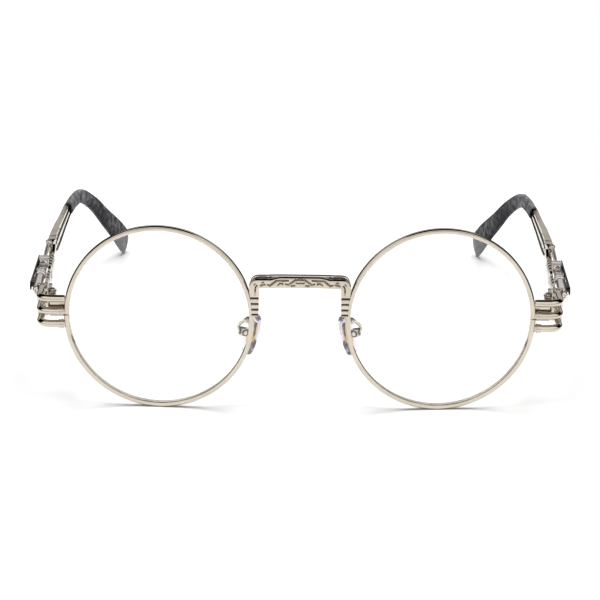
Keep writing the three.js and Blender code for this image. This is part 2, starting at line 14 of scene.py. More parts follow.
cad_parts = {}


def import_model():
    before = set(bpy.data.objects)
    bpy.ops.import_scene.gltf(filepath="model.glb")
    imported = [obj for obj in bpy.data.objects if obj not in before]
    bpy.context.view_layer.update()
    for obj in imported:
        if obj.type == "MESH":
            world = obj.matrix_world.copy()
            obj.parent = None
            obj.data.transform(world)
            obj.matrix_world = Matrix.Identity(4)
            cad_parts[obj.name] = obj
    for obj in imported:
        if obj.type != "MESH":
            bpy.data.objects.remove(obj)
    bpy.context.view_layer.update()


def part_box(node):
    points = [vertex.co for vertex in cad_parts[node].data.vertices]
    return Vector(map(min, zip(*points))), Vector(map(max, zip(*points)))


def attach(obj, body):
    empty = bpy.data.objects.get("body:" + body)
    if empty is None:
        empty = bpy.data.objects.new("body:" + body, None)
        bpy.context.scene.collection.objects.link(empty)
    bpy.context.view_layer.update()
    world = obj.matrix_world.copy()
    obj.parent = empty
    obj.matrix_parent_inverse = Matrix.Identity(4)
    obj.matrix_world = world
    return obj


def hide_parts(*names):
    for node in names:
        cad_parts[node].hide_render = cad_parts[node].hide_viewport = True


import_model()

MM = 0.001
UP = Vector((0, 0, 1))
ALONG_Y = Vector((0, 1, 0))
BRIDGE_FRONT = -4.0
SHIFT_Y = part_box("bridge_plate")[0].y / MM - BRIDGE_FRONT

EYE_X = 37.5
EYE_Z = 25.5
RIM_OUTER = 25.5
RIM_INNER = 24.15
WRAP = math.radians(3.7)
HINGE = Vector((67.6, 13.6, 0))
SPLAY = math.radians(-1.9)
TEMPLE = Matrix.Translation(HINGE) @ Matrix.Rotation(SPLAY, 4, "Z")


# ---- mesh tools ----
class Shape:
    """Vertices and faces that grow as closed shells are added to them.

    Each face has a painted shade value: 0 on plain polished faces, 1 where shade or a dark
    reflection is painted on, mostly on cut-in faces.
    """

    def __init__(self):
        self.verts = []
        self.faces = []
        self.painted_shade = []

    def add(self, verts, faces, painted_shade=None):
        start = len(self.verts)
        self.verts += [Vector(v) for v in verts]
        self.faces += [[start + i for i in face] for face in faces]
        self.painted_shade += painted_shade or [0.0] * len(faces)
        return self

    def join(self, *others):
        for other in others:
            self.add(other.verts, other.faces, other.painted_shade)
        return self

    def moved(self, matrix):
        return Shape().add([matrix @ v for v in self.verts], self.faces, self.painted_shade)

    def mirrored(self):
        flipped = [list(reversed(face)) for face in self.faces]
        return Shape().add([Vector((-v.x, v.y, v.z)) for v in self.verts], flipped, self.painted_shade)

    def shaded(self, painted_shade_at):
        """Sets the painted shade values from a function of each face's middle."""
        for i, face in enumerate(self.faces):
            middle = sum((self.verts[k] for k in face), Vector()) / len(face)
            self.painted_shade[i] = painted_shade_at(middle)
        return self


def smooth(x, low, high):
    """0 up to low, 1 from high on, eased between them."""
    t = max(0.0, min(1.0, (x - low) / (high - low)))
    return t * t * (3 - 2 * t)


def circle(sides):
    """The angles of a circle's points."""
    return [2 * math.pi * i / sides for i in range(sides)]


def loft(rings, loop=False):
    """A skin over rings of equal length, capped at both ends unless it closes on itself."""
    shape, sides = Shape(), len(rings[0])
    faces = []
    for i in range(len(rings) if loop else len(rings) - 1):
        here, there = i * sides, ((i + 1) % len(rings)) * sides
        for j in range(sides):
            k = (j + 1) % sides
            faces.append([here + j, here + k, there + k, there + j])
    if not loop:
        last = (len(rings) - 1) * sides
        faces.append(list(reversed(range(sides))))
        faces.append(list(range(last, last + sides)))
    return shape.add([v for ring in rings for v in ring], faces)


def catmull(points, steps):
    """A smooth centripetal curve through the points, at equal distances."""
    p = [Vector(q) for q in points]
    p = [p[0] * 2 - p[1], *p, p[-1] * 2 - p[-2]]
    fine, per_span = [], 24
    for a, b, c, d in zip(p, p[1:], p[2:], p[3:]):
        t1 = max((b - a).length, 1e-9) ** 0.5
        t2 = t1 + max((c - b).length, 1e-9) ** 0.5
        t3 = t2 + max((d - c).length, 1e-9) ** 0.5
        for i in range(per_span):
            t = t1 + (t2 - t1) * i / per_span
            ab = a.lerp(b, t / t1)
            bc = b.lerp(c, (t - t1) / (t2 - t1))
            cd = c.lerp(d, (t - t2) / (t3 - t2))
            abc = ab.lerp(bc, t / t2)
            bcd = bc.lerp(cd, (t - t1) / (t3 - t1))
            fine.append(abc.lerp(bcd, (t - t1) / (t2 - t1)))
    fine.append(p[-2])
    return even(fine, steps)


def even(points, steps):
    """The same line with its points at equal distances."""
    lengths = [0.0]
    for a, b in zip(points, points[1:]):
        lengths.append(lengths[-1] + (b - a).length)
    out, k = [], 0
    for i in range(steps + 1):
        s = lengths[-1] * i / steps
        while k < len(points) - 2 and lengths[k + 1] < s:
            k += 1
        span = max(lengths[k + 1] - lengths[k], 1e-9)
        out.append(points[k].lerp(points[k + 1], (s - lengths[k]) / span))
    return out


def tangents(path):
    last = len(path) - 1
    return [(path[min(i + 1, last)] - path[max(i - 1, 0)]).normalized() for i in range(last + 1)]


def tube(path, radius, sides=24, round_ends=True):
    """A round wire along a path.  radius is a number or a function of 0 to 1."""
    size = radius if callable(radius) else (lambda w: radius)
    along = tangents(path)
    side = along[0].orthogonal().normalized()
    rings, last = [], len(path) - 1

    def ring(centre, tangent, r):
        up = tangent.cross(side).normalized()
        return [centre + (side * math.cos(a) + up * math.sin(a)) * r for a in circle(sides)]

    for i, (point, tangent) in enumerate(zip(path, along)):
        side = (side - tangent * side.dot(tangent)).normalized()
        r = size(i / last)
        if i == 0 and round_ends:
            rings += [ring(point - tangent * r * 0.5 * s, tangent, r * c) for s, c in ROUND_OFF]
        rings.append(ring(point, tangent, r))
        if i == last and round_ends:
            rings += [ring(point + tangent * r * 0.5 * s, tangent, r * c)
                      for s, c in reversed(ROUND_OFF)]
    return loft(rings)


ROUND_OFF = [(math.sin(a), math.cos(a)) for a in (1.45, 1.15, 0.8, 0.4)]


def basis(axis):
    axis = Vector(axis).normalized()
    side = axis.orthogonal().normalized()
    return axis, side, axis.cross(side)


def turned(profile, origin=(0, 0, 0), axis=ALONG_Y, sides=32, closed=False):
    """A lathe piece: profile points are (distance along the axis, radius)."""
    axis, side, up = basis(axis)
    origin = Vector(origin)
    rings = [
        [origin + axis * along + (side * math.cos(a) + up * math.sin(a)) * r for a in circle(sides)]
        for along, r in profile
    ]
    return loft(rings, loop=closed)


def ball(centre, radius, axis, sides, steps):
    turns = [math.pi * i / steps for i in range(steps + 1)]
    profile = [(-radius * math.cos(a), max(radius * math.sin(a), 0.001)) for a in turns]
    return turned(profile, centre, axis, sides)


def eased(corners, radius=0.08, steps=3):
    """Rounds the corners of a closed outline of (u, v) points."""
    out = []
    count = len(corners)
    for i in range(count):
        a, b, c = (Vector(corners[(i + k) % count]).to_2d() for k in (-1, 0, 1))
        reach = min(radius, (a - b).length * 0.45, (c - b).length * 0.45)
        start, end = b + (a - b).normalized() * reach, b + (c - b).normalized() * reach
        for k in range(steps + 1):
            t = k / steps
            out.append(start.lerp(b, t).lerp(b.lerp(end, t), t))
    return out


def rounded_profile(corners, radius=0.08, steps=3):
    """The same as plain pairs of numbers."""
    return [(p.x, p.y) for p in eased(corners, radius, steps)]


def block(low, high, radius=0.12):
    """A box with rounded edges."""
    bm = bmesh.new()
    bmesh.ops.create_cube(bm, size=1)
    low, high = Vector(low), Vector(high)
    for v in bm.verts:
        v.co = Vector(low[i] if v.co[i] < 0 else high[i] for i in range(3))
    bmesh.ops.bevel(bm, geom=bm.edges[:], offset=radius, segments=3, profile=0.5,
                    affect="EDGES")
    return from_bmesh(bm)


def from_bmesh(bm):
    bm.verts.ensure_lookup_table()
    bm.verts.index_update()
    shape = Shape().add([v.co.copy() for v in bm.verts],
                        [[v.index for v in f.verts] for f in bm.faces])
    bm.free()
    return shape


def plate(outline, holes, place, thick, edge=0.08):
    """A flat plate with holes and rounded edges.  place(u, v, depth) puts it in the frame."""
    curve = bpy.data.curves.new("plate", "CURVE")
    curve.dimensions = "2D"
    curve.fill_mode = "BOTH"
    curve.extrude = thick / 2 - edge
    curve.bevel_depth = edge
    curve.bevel_resolution = 1
    curve.offset = -edge
    for loop in [outline, *holes]:
        spline = curve.splines.new("POLY")
        spline.points.add(len(loop) - 1)
        for point, uv in zip(spline.points, loop):
            point.co = (uv[0], uv[1], 0, 1)
        spline.use_cyclic_u = True
    holder = bpy.data.objects.new("plate", curve)
    mesh = bpy.data.meshes.new_from_object(holder)
    bm = bmesh.new()
    bm.from_mesh(mesh)
    bmesh.ops.remove_doubles(bm, verts=bm.verts[:], dist=1e-4)
    shape = from_bmesh(bm)
    bpy.data.objects.remove(holder)
    bpy.data.curves.remove(curve)
    bpy.data.meshes.remove(mesh)
    shape.verts = [Vector(place(v.x, v.y, v.z)) for v in shape.verts]
    return shape


def linked(name, data):
    obj = bpy.data.objects.new(name, data)
    bpy.context.scene.collection.objects.link(obj)
    return obj


def object_of(name, shape, mirror=False):
    mesh = bpy.data.meshes.new(name)
    shape = shape.mirrored() if mirror else shape
    mesh.from_pydata([(v.x * MM, (v.y + SHIFT_Y) * MM, v.z * MM) for v in shape.verts], [],
                     shape.faces)
    bm = bmesh.new()
    bm.from_mesh(mesh)
    bmesh.ops.recalc_face_normals(bm, faces=bm.faces[:])
    bm.to_mesh(mesh)
    bm.free()
    # Carries the painted shade values to the shader.
    if len(mesh.polygons) == len(shape.painted_shade):
        painted_shade = mesh.attributes.new("painted_shade", "FLOAT", "FACE")
        painted_shade.data.foreach_set("value", shape.painted_shade)
    mesh.polygons.foreach_set("use_smooth", [True] * len(mesh.polygons))
    mesh.set_sharp_from_angle(angle=math.radians(38))
    return linked(name, mesh)


def united(solids, cutters=(), bevel=0):
    """Joins solids into one, cuts the cutters out and rounds the edges."""
    base = object_of("base", solids[0])
    tools = [("UNION", s) for s in solids[1:]] + [("DIFFERENCE", c) for c in cutters]
    helpers = []
    for i, (operation, shape) in enumerate(tools):
        helper = object_of(f"tool_{i}", shape)
        cut = base.modifiers.new(f"cut_{i}", "BOOLEAN")
        cut.operation, cut.solver, cut.object = operation, "EXACT", helper
        helpers.append(helper)
    if bevel:
        soften = base.modifiers.new("soften", "BEVEL")
        soften.width, soften.segments = bevel * MM, 2
        soften.limit_method, soften.angle_limit = "ANGLE", math.radians(40)
    bpy.context.view_layer.update()
    graph = bpy.context.evaluated_depsgraph_get()
    mesh = bpy.data.meshes.new_from_object(base.evaluated_get(graph))
    shape = Shape().add(
        [Vector((v.co.x / MM, v.co.y / MM - SHIFT_Y, v.co.z / MM)) for v in mesh.vertices],
        [list(p.vertices) for p in mesh.polygons],
    )
    for helper in [base, *helpers]:
        bpy.data.objects.remove(helper)
    bpy.data.meshes.remove(mesh)
    return shape


def piece(node, shape, body, finish, mirror=False):
    """A finished piece that rides on a body and stands for a CAD node."""
    obj = object_of(f"{node}_look", shape, mirror)
    obj.data.materials.append(finish["material"])
    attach(obj, body)
    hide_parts(node)


def pair(name, shape, body, finish):
    """The right-hand piece and its mirror image.  body may hold a {side} of its own."""
    for side in ("left", "right"):
        piece(f"{name}_{side}", shape, body.format(side=side), finish, mirror=side == "left")


# ---- materials ----
def nodes_of(name):
    material = bpy.data.materials.new(name)
    material.use_nodes = True
    tree = material.node_tree
    return material, tree, tree.nodes["Principled BSDF"]


def coordinates(tree, kind):
    """The x, y and z outputs of a texture coordinate."""
    place = tree.nodes.new("ShaderNodeTexCoord")
    split = tree.nodes.new("ShaderNodeSeparateXYZ")
    tree.links.new(place.outputs[kind], split.inputs[0])
    return split.outputs


def noise_of(tree, scale, detail=3.0, stretch=None):
    """A noise texture in object space, in features per metre."""
    place = tree.nodes.new("ShaderNodeTexCoord")
    noise = tree.nodes.new("ShaderNodeTexNoise")
    noise.inputs["Scale"].default_value = scale
    noise.inputs["Detail"].default_value = detail
    vector = place.outputs["Object"]
    if stretch:
        mapping = tree.nodes.new("ShaderNodeMapping")
        mapping.inputs["Scale"].default_value = stretch
        tree.links.new(vector, mapping.inputs["Vector"])
        vector = mapping.outputs["Vector"]
    tree.links.new(vector, noise.inputs["Vector"])
    return noise.outputs["Fac"]


def ramp_of(tree, value, stops):
    """A colour ramp; stops are (position, colour)."""
    ramp = tree.nodes.new("ShaderNodeValToRGB")
    elements = ramp.color_ramp.elements
    while len(elements) < len(stops):
        elements.new(0.5)
    for element, (position, colour) in zip(elements, stops):
        element.position = position
        element.color = (*colour, 1)
    tree.links.new(value, ramp.inputs["Fac"])
    return ramp.outputs["Color"]


def range_of(tree, value, low, high, start=0.3, end=0.7, curve="LINEAR"):
    """Goes from low to high as the value goes from start to end."""
    span = tree.nodes.new("ShaderNodeMapRange")
    span.interpolation_type = curve
    span.inputs["From Min"].default_value = start
    span.inputs["From Max"].default_value = end
    span.inputs["To Min"].default_value = low
    span.inputs["To Max"].default_value = high
    tree.links.new(value, span.inputs["Value"])
    return span.outputs["Result"]


def mix_of(tree, amount, colour, other):
    """Mixes a colour output with another one, or with a plain colour."""
    mix = tree.nodes.new("ShaderNodeMix")
    mix.data_type = "RGBA"
    tree.links.new(amount, mix.inputs[0])
    tree.links.new(colour, mix.inputs[6])
    if isinstance(other, tuple):
        mix.inputs[7].default_value = (*other, 1)
    else:
        tree.links.new(other, mix.inputs[7])
    return mix.outputs[2]


def bump_of(tree, shader, height, distance, strength=1.0):
    bump = tree.nodes.new("ShaderNodeBump")
    bump.inputs["Strength"].default_value = strength
    bump.inputs["Distance"].default_value = distance
    tree.links.new(height, bump.inputs["Height"])
    tree.links.new(bump.outputs["Normal"], shader.inputs["Normal"])


# The colour that faces marked with painted shade turn to.
PAINTED_SHADE_COLOUR = (0.035, 0.030, 0.026)
# The heights, in metres, over which the tips' painted highlight fades in.
HIGHLIGHT_HEIGHTS = 0.025, 0.032


def surface(tree, shader, colour, roughness):
    tree.links.new(colour, shader.inputs["Base Color"])
    tree.links.new(roughness, shader.inputs["Roughness"])


def metal(name, slot, light, dark, roughness, metallic=1.0):
    """Plating with colour clouds, polishing marks and a faint waviness, painted dark as shade where
    the painted shade attribute is set.
    """
    material, tree, shader = nodes_of(name)
    clouds = noise_of(tree, 180, 4.0)
    fine = noise_of(tree, 2600, 2.0)
    colour = ramp_of(tree, clouds, [(0.3, dark), (0.62, light)])
    painted_shade = tree.nodes.new("ShaderNodeAttribute")
    painted_shade.attribute_name = "painted_shade"
    colour_with_shade = mix_of(tree, painted_shade.outputs["Fac"], colour, PAINTED_SHADE_COLOUR)
    surface(tree, shader, colour_with_shade, range_of(tree, fine, *roughness))
    shader.inputs["Metallic"].default_value = metallic
    bump_of(tree, shader, noise_of(tree, 420, 2.0), 0.00001, 0.6)
    return {"material": material, "slot": slot}


def black_plastic():
    """Moulded satin plastic with a leathery mottle, and a mottled grey painted highlight on its
    upper stretch.
    """
    material, tree, shader = nodes_of("satin_black")
    mottle = noise_of(tree, 900, 5.0, (1.0, 0.55, 0.55))
    clouds = noise_of(tree, 150, 3.0)
    colour = ramp_of(tree, clouds, [(0.35, (0.006, 0.006, 0.008)), (0.7, (0.014, 0.014, 0.018))])
    painted_highlight = ramp_of(tree, mottle, [(0.3, (0.05, 0.05, 0.055)), (0.7, (0.24, 0.24, 0.25))])
    height = range_of(tree, coordinates(tree, "Object")["Z"], 0.0, 1.0, *HIGHLIGHT_HEIGHTS)
    surface(tree, shader, mix_of(tree, height, colour, painted_highlight),
            range_of(tree, mottle, 0.62, 0.2, 0.36, 0.66))
    shader.inputs["Specular IOR Level"].default_value = 0.07
    bump_of(tree, shader, mottle, 0.00016, 0.8)
    return {"material": material, "slot": "tip_plastic"}


def lens_glass():
    """Clear coated lens: mostly see-through, with faint coating clouds in its gloss."""
    material, tree, shader = nodes_of("clear_lens")
    film = noise_of(tree, 60, 2.0)
    colour = ramp_of(tree, film, [(0.3, (0.96, 0.985, 0.97)), (0.7, (0.985, 0.99, 1.0))])
    surface(tree, shader, colour, range_of(tree, film, 0.01, 0.03))
    shader.inputs["IOR"].default_value = 1.5
    shader.inputs["Alpha"].default_value = 0.07
    shader.inputs["Transmission Weight"].default_value = 1.0
    bump_of(tree, shader, noise_of(tree, 90, 1.0), 0.000002, 0.3)
    return {"material": material, "slot": "lens_clear"}


def silicone():
    """Soft clear silicone with a faint lavender cast and tiny surface waves."""
    material, tree, shader = nodes_of("pad_silicone")
    haze = noise_of(tree, 300, 3.0)
    colour = ramp_of(tree, haze, [(0.3, (0.70, 0.69, 0.82)), (0.7, (0.84, 0.82, 0.92))])
    surface(tree, shader, colour, range_of(tree, haze, 0.05, 0.14))
    shader.inputs["IOR"].default_value = 1.41
    shader.inputs["Transmission Weight"].default_value = 0.9
    bump_of(tree, shader, noise_of(tree, 700, 2.0), 0.00001, 0.4)
    return {"material": material, "slot": "pad_silicone"}


CHAMPAGNE = metal("champagne_plating", "frame_metal",
                  (0.62, 0.555, 0.47), (0.54, 0.485, 0.41), (0.06, 0.13))
# The barrel's satin plating: its rougher finish is its own, and its extra lightness over the
# champagne plating is painted light.
LIT_SATIN = metal("lit_satin_plating", "frame_metal",
              (0.80, 0.73, 0.69), (0.70, 0.64, 0.60), (0.1, 0.16), 0.9)
STEEL = metal("turned_steel", "screw_steel",
              (0.74, 0.70, 0.65), (0.60, 0.56, 0.52), (0.12, 0.24))
GILT = metal("gilt_insert", "screw_steel",
             (0.86, 0.62, 0.22), (0.74, 0.50, 0.14), (0.12, 0.22))
BLACK = black_plastic()
LENS = lens_glass()
SILICONE = silicone()


# ---- rims and lenses ----
EYE = Matrix.Translation((EYE_X, 0, EYE_Z)) @ Matrix.Rotation(WRAP, 4, "Z")
RIM_STEPS = 288
RIM_HALF, RIM_GAP = 0.85, 0.15
GROOVE_HALF, GROOVE_RADIUS = 0.42, 24.72
LENS_RADIUS, LENS_CURVE, LENS_THICK = 24.6, 265.0, 1.5


def rim():
    """A wire with chamfered edges and the lens's groove, split at its outer end."""
    corners = [
        (RIM_INNER, -RIM_HALF + 0.26), (RIM_INNER + 0.2, -RIM_HALF), (RIM_OUTER - 0.34, -RIM_HALF),
        (RIM_OUTER, -RIM_HALF + 0.38), (RIM_OUTER, RIM_HALF - 0.36), (RIM_OUTER - 0.3, RIM_HALF),
        (RIM_INNER, RIM_HALF), (RIM_INNER, GROOVE_HALF), (GROOVE_RADIUS, 0.06),
        (GROOVE_RADIUS, -0.06), (RIM_INNER, -GROOVE_HALF),
    ]
    start = RIM_GAP / RIM_OUTER
    turns = [start + (2 * math.pi - 2 * start) * i / RIM_STEPS for i in range(RIM_STEPS + 1)]
    profile = rounded_profile(corners, 0.1, 4)
    return loft([[Vector((r * math.cos(a), y, r * math.sin(a))) for r, y in profile]
                 for a in turns]).moved(EYE)


def lens():
    """A meniscus whose bevelled edge sits in the rim's groove."""
    edge = RIM_INNER - 0.06
    radii = [edge * i / 14 for i in range(15)]
    bulge = [(edge * edge - r * r) / (2 * LENS_CURVE) for r in radii]
    front = [(-LENS_THICK / 2 - b, r) for b, r in zip(bulge, radii)]
    back = [(LENS_THICK / 2 - b, r) for b, r in zip(bulge, radii)]
    bevel = [(-0.34, edge), (-0.05, LENS_RADIUS), (0.05, LENS_RADIUS), (0.34, edge)]
    profile = [(y, max(r, 0.001)) for y, r in front + bevel + back[::-1]]
    return turned(profile, sides=144).moved(EYE)


pair("rim", rim(), "front", CHAMPAGNE)
pair("lens", lens(), "front", LENS)


# ---- bridge ----
LEG_LOW, LEG_TOP = 27.3, 34.3
TOP_HALF = 9.6
TOP_LOW, TOP_HIGH = 35.04, 37.47
BRIDGE_BACK = -2.66
ACROSS, EDGE_ROUND = 30, 0.3
SCROLL_START, SCROLL_FADE = 33.2, 1.2
LEG_SHADE, TOP_SHADE = 0.8, 0.6


def capsule(x, v, a, b, width):
    """1 on the segment a-b, falling smoothly to 0 at the given distance from it."""
    ax, av, bx, bv = *a, *b
    dx, dv = bx - ax, bv - av
    t = max(0.0, min(1.0, ((x - ax) * dx + (v - av) * dv) / (dx * dx + dv * dv + 1e-12)))
    far = math.hypot(x - ax - t * dx, v - av - t * dv)
    return max(0.0, 1 - (far / width) ** 2) ** 1.5


# Carved strokes of the scroll, in mm from the middle and mm above the plate's lower edge.
SCROLL = [
    ((0.0, 2.35), (1.25, 2.3), 0.3), ((1.25, 2.3), (3.1, 1.0), 0.34),
    ((3.1, 1.0), (3.8, 1.2), 0.28), ((3.2, 2.15), (6.3, 2.1), 0.3),
    ((6.3, 2.1), (7.9, 0.85), 0.34), ((7.9, 0.85), (8.6, 1.05), 0.28),
    ((0.0, 1.35), (1.0, 1.45), 0.24), ((1.5, 0.75), (2.3, 0.7), 0.26),
    ((4.6, 1.25), (5.3, 1.4), 0.3), ((5.3, 1.4), (5.9, 0.9), 0.26),
    ((9.3, 1.15), (10.4, 0.95), 0.32), ((9.6, 1.75), (10.1, 1.7), 0.22),
    ((11.5, 1.25), (12.3, 0.7), 0.34), ((11.9, 1.9), (12.1, 1.85), 0.24),
]
LEG_BANDS = [32.3, 30.75, 29.2, 27.75]


def scroll_depth(x, v):
    """The carved scroll, over a low wave of leaves."""
    x = abs(x)
    carved = max(capsule(x, v, a, b, w) for a, b, w in SCROLL)
    leaves = 0.5 + 0.5 * math.cos(2 * math.pi * (x - 0.4) / 3.15 + 1.1 * v)
    return 0.42 * carved - 0.07 * leaves * min(1, v) * min(1, max(0.0, 2.7 - v))


def band_depth(z):
    """The leg's turned bands: grooves between low domes."""
    near = min(abs(z - b) for b in LEG_BANDS)
    groove = max(0.0, 1 - (near / 0.26) ** 2)
    dome = 0.12 * math.cos(2 * math.pi * (z - LEG_BANDS[0]) / 1.53) if z < 32.6 else 0.0
    return 0.36 * groove + dome


def bridge_stations():
    """The (inner, outer) edge points along the staple: up the left leg, over, down the right."""
    leg_steps, corner_steps, top_steps = 84, 22, 150
    stations = []
    for i in range(leg_steps):
        rise = i / leg_steps
        z = LEG_LOW + (LEG_TOP - LEG_LOW) * rise
        stations.append(((-10.95 + 0.1 * rise, z), (-12.8 - 0.68 * rise ** 1.5, z)))
    inner = [(-10.85, LEG_TOP), (-10.8, 34.85), (-10.2, 35.02), (-TOP_HALF, TOP_LOW)]
    outer = [(-13.48, LEG_TOP), (-13.35, 36.2), (-12.2, 37.28), (-TOP_HALF, TOP_HIGH)]
    stations += list(zip(flat_curve(inner, corner_steps), flat_curve(outer, corner_steps)))
    for i in range(1, top_steps + 1):
        x = -TOP_HALF + TOP_HALF * i / top_steps
        swell = 1 - (x / TOP_HALF) ** 2
        high = TOP_HIGH + 0.62 * smooth(swell, 0.3, 0.75)
        stations.append(((x, TOP_LOW + 0.16 * swell), (x, high)))
    return stations + [((-a[0], a[1]), (-b[0], b[1])) for a, b in reversed(stations[:-1])]


def relief_depth(x, z, v):
    """Bands on the legs and the scroll along the top, v above the plate's lower edge."""
    if z > SCROLL_START:
        return min(1.0, (z - SCROLL_START) / SCROLL_FADE) * scroll_depth(x, v)
    return band_depth(z)


def bridge_plate():
    """A flat strip along the staple, with its relief on the front and painted shade in the deeper
    carving.
    """
    rings, painted_shade = [], []
    for inner, outer in bridge_stations():
        inner, outer = Vector(inner), Vector(outer)
        width = (outer - inner).length
        front, depths = [], []
        for j in range(ACROSS + 1):
            t = j / ACROSS
            flat = inner.lerp(outer, t)
            depths.append(relief_depth(flat.x, flat.y, t * width))
            round_off = EDGE_ROUND * max(0.0, 1 - min(t, 1 - t) * width / EDGE_ROUND) ** 2
            depth = max(0.0, depths[-1] + round_off)
            front.append(Vector((flat.x, BRIDGE_FRONT + 0.1 + depth, flat.y)))
        back = [Vector((edge.x, BRIDGE_BACK, edge.y)) for edge in (outer, inner)]
        rings.append(front + back)
        # Painted shade in the carving, at TOP_SHADE along the top and LEG_SHADE on the legs.
        dark = TOP_SHADE if outer.y > TOP_LOW else LEG_SHADE
        painted_shade.append([dark * smooth((a + b) / 2, 0.12, 0.34) for a, b in zip(depths, depths[1:])]
                      + [0] * 3)
    shape = loft(rings)
    shape.painted_shade = [value for row in painted_shade[:-1] for value in row] + [0, 0]
    return shape


def flat_curve(points, steps):
    curve = catmull([(x, z, 0) for x, z in points], steps)
    return [(p.x, p.y) for p in curve]


def bridge_rail():
    """The wire behind the plate, with painted shade where it faces the plate."""
    half = [(12.9, -1.7, 35.2), (12.1, -1.75, 37.35), (8.5, -1.8, 37.75), (0, -1.8, 37.85)]
    other = [(-x, y, z) for x, y, z in reversed(half[:-1])]
    path = catmull(half + other, 120)

    def shade_facing_plate(p):
        nearest = min(path, key=lambda q: (q - p).length_squared)
        inward = Vector((-p.x, 0, 30 - p.z)).normalized()
        return smooth((p - nearest).dot(inward), -0.13, -0.02) * smooth(abs(p.x), 6.2, 8.0)

    return tube(path, 0.55, 32).shaded(shade_facing_plate)


piece("bridge_plate", bridge_plate(), "front", CHAMPAGNE)
piece("bridge_rail", bridge_rail(), "front", CHAMPAGNE)


# ---- three-wire end pieces ----
PRONG_Y = 1.4
PRONG_RADIUS = 0.98
PRONG_LINE_X = 69.6
PRONG_START, PRONG_END, PRONG_BEND = 62.9, 10.4, 3.0
PRONG_HEIGHTS = {"upper": 29.9, "middle": 26.35, "lower": 22.8}


def prong(z):
    """A wire that runs outward from the rim, turns the corner and runs back to the hinge."""
    corner = Vector((PRONG_LINE_X - PRONG_BEND, PRONG_Y + PRONG_BEND, z))
    path = [Vector((PRONG_START + (corner.x - PRONG_START) * i / 8, PRONG_Y, z)) for i in range(8)]
    path += [corner + Vector((math.sin(a), -math.cos(a), 0)) * PRONG_BEND
             for a in (math.pi / 2 * i / 14 for i in range(15))]
    path += [Vector((PRONG_LINE_X, corner.y + (PRONG_END - corner.y) * i / 8, z))
             for i in range(1, 9)]
    return tube(path, PRONG_RADIUS, 32)


def collar(z):
    """A stepped sleeve on the wire, with a groove between its two beads."""
    bore, high, low = PRONG_RADIUS + 0.01, 1.32, 1.12
    profile = rounded_profile([
        (0, bore), (0, low), (0.12, high), (0.5, high), (0.64, low), (0.9, low), (1.0, high - 0.1),
        (1.3, high - 0.1), (1.3, bore),
    ], 0.07)
    return turned(profile, (63.1, PRONG_Y, z), (1, 0, 0), 40, closed=True)


for level, height in PRONG_HEIGHTS.items():
    pair(f"prong_{level}", prong(height), "front", CHAMPAGNE)
for level in ("middle", "lower"):
    pair(f"prong_collar_{level}", collar(PRONG_HEIGHTS[level]), "front", CHAMPAGNE)


def lock(low, high):
    """One half of the block that closes the rim, between two heights."""
    return block((62.0, 2.85, low), (66.9, 5.0, high))


def screw(origin, axis, radius, height, shank, length):
    """A slotted round-headed screw; origin is under the head."""
    profile = [(-length, 0.001), (-length, shank * 0.8), (-length + 0.15, shank), (-0.02, shank),
               (0, radius - 0.05), (0.06, radius), (height * 0.5, radius)]
    profile += [(height * (0.5 + 0.5 * math.sin(a)), max(radius * math.cos(a), 0.001))
                for a in (0.3, 0.6, 0.9, 1.2, math.pi / 2)]
    axis, side, up = basis(axis)
    body = turned(profile, origin, axis, 32)
    top = Vector(origin) + axis * height
    turn = Matrix((side, up, axis)).transposed().to_4x4()
    long, wide, deep = radius * 1.2, radius * 0.13, height * 0.45
    slot = block((-long, -wide, -deep), (long, wide, 1), 0.02)
    slot = slot.moved(Matrix.Translation(top) @ turn)
    return united([body], [slot])


pair("rim_lock_upper", lock(25.6, 29.2), "front", CHAMPAGNE)
pair("rim_lock_lower", lock(24.45, 25.4), "front", CHAMPAGNE)
pair("rim_screw", screw((65.4, 3.9, 29.22), UP, 0.95, 0.55, 0.55, 4.7), "front", STEEL)


# ---- hinges ----
LEVELS = [22.4, 24.25, 26.15, 28.1]
KNUCKLE, PIN_BORE, LEAF_BEVEL = 1.5, 0.78, 0.07


def upright(x, y, low, high, radius, sides=32):
    return turned([(low, radius), (high, radius)], (x, y, 0), UP, sides)


def hinge_block():
    """The post behind the three wires, with the upper and lower knuckles."""
    x, y = HINGE.x, HINGE.y
    back = y - KNUCKLE - 0.15
    solids = [
        block((68.1, 10.5, 21.7), (71.1, back, 30.8), 0.25),
        block((69.4, back - 0.5, 21.9), (71.1, y + 0.1, 28.6), 0.2),
    ]
    for low, high in ((LEVELS[0], LEVELS[1] - 0.05), (LEVELS[2] + 0.05, LEVELS[3])):
        solids.append(upright(x, y, low, high, KNUCKLE))
        solids.append(block((x - KNUCKLE, back - 1, low), (x + 1.2, y, high), 0.02))
    return united(solids, [upright(x, y, 20, 31, PIN_BORE)], LEAF_BEVEL)


def temple_hinge():
    """The middle knuckle and its leaf, about the hinge's own axis."""
    low, high = LEVELS[1], LEVELS[2]
    solids = [
        upright(0, 0, low, high, KNUCKLE),
        block((0.25, 0.9, low), (1.35, 2.4, high), 0.02),
        block((0.25, 1.95, 22.5), (1.35, 9, 27), 0.2),
    ]
    return united(solids, [upright(0, 0, 20, 31, PIN_BORE)], LEAF_BEVEL)


pair("hinge_block", hinge_block(), "front", CHAMPAGNE)
pair("hinge_screw", screw((HINGE.x, HINGE.y, LEVELS[3] + 0.05), UP, 1.15, 0.6, 0.7, 5.75),
     "front", STEEL)
pair("temple_hinge", temple_hinge().moved(TEMPLE), "{side}_temple", CHAMPAGNE)


# ---- nose pads ----
PAD = Matrix.Translation((13.85, 6.2, 19.1)) @ Matrix.Rotation(math.radians(-20), 4, "Z") \
    @ Matrix.Rotation(math.radians(-17), 4, "Y")
PAD_LENGTH, PAD_WIDTH, PAD_THICK = 12.2, 5.8, 2.1
PAD_PIVOT, PAD_BORE = 1.25, 0.42


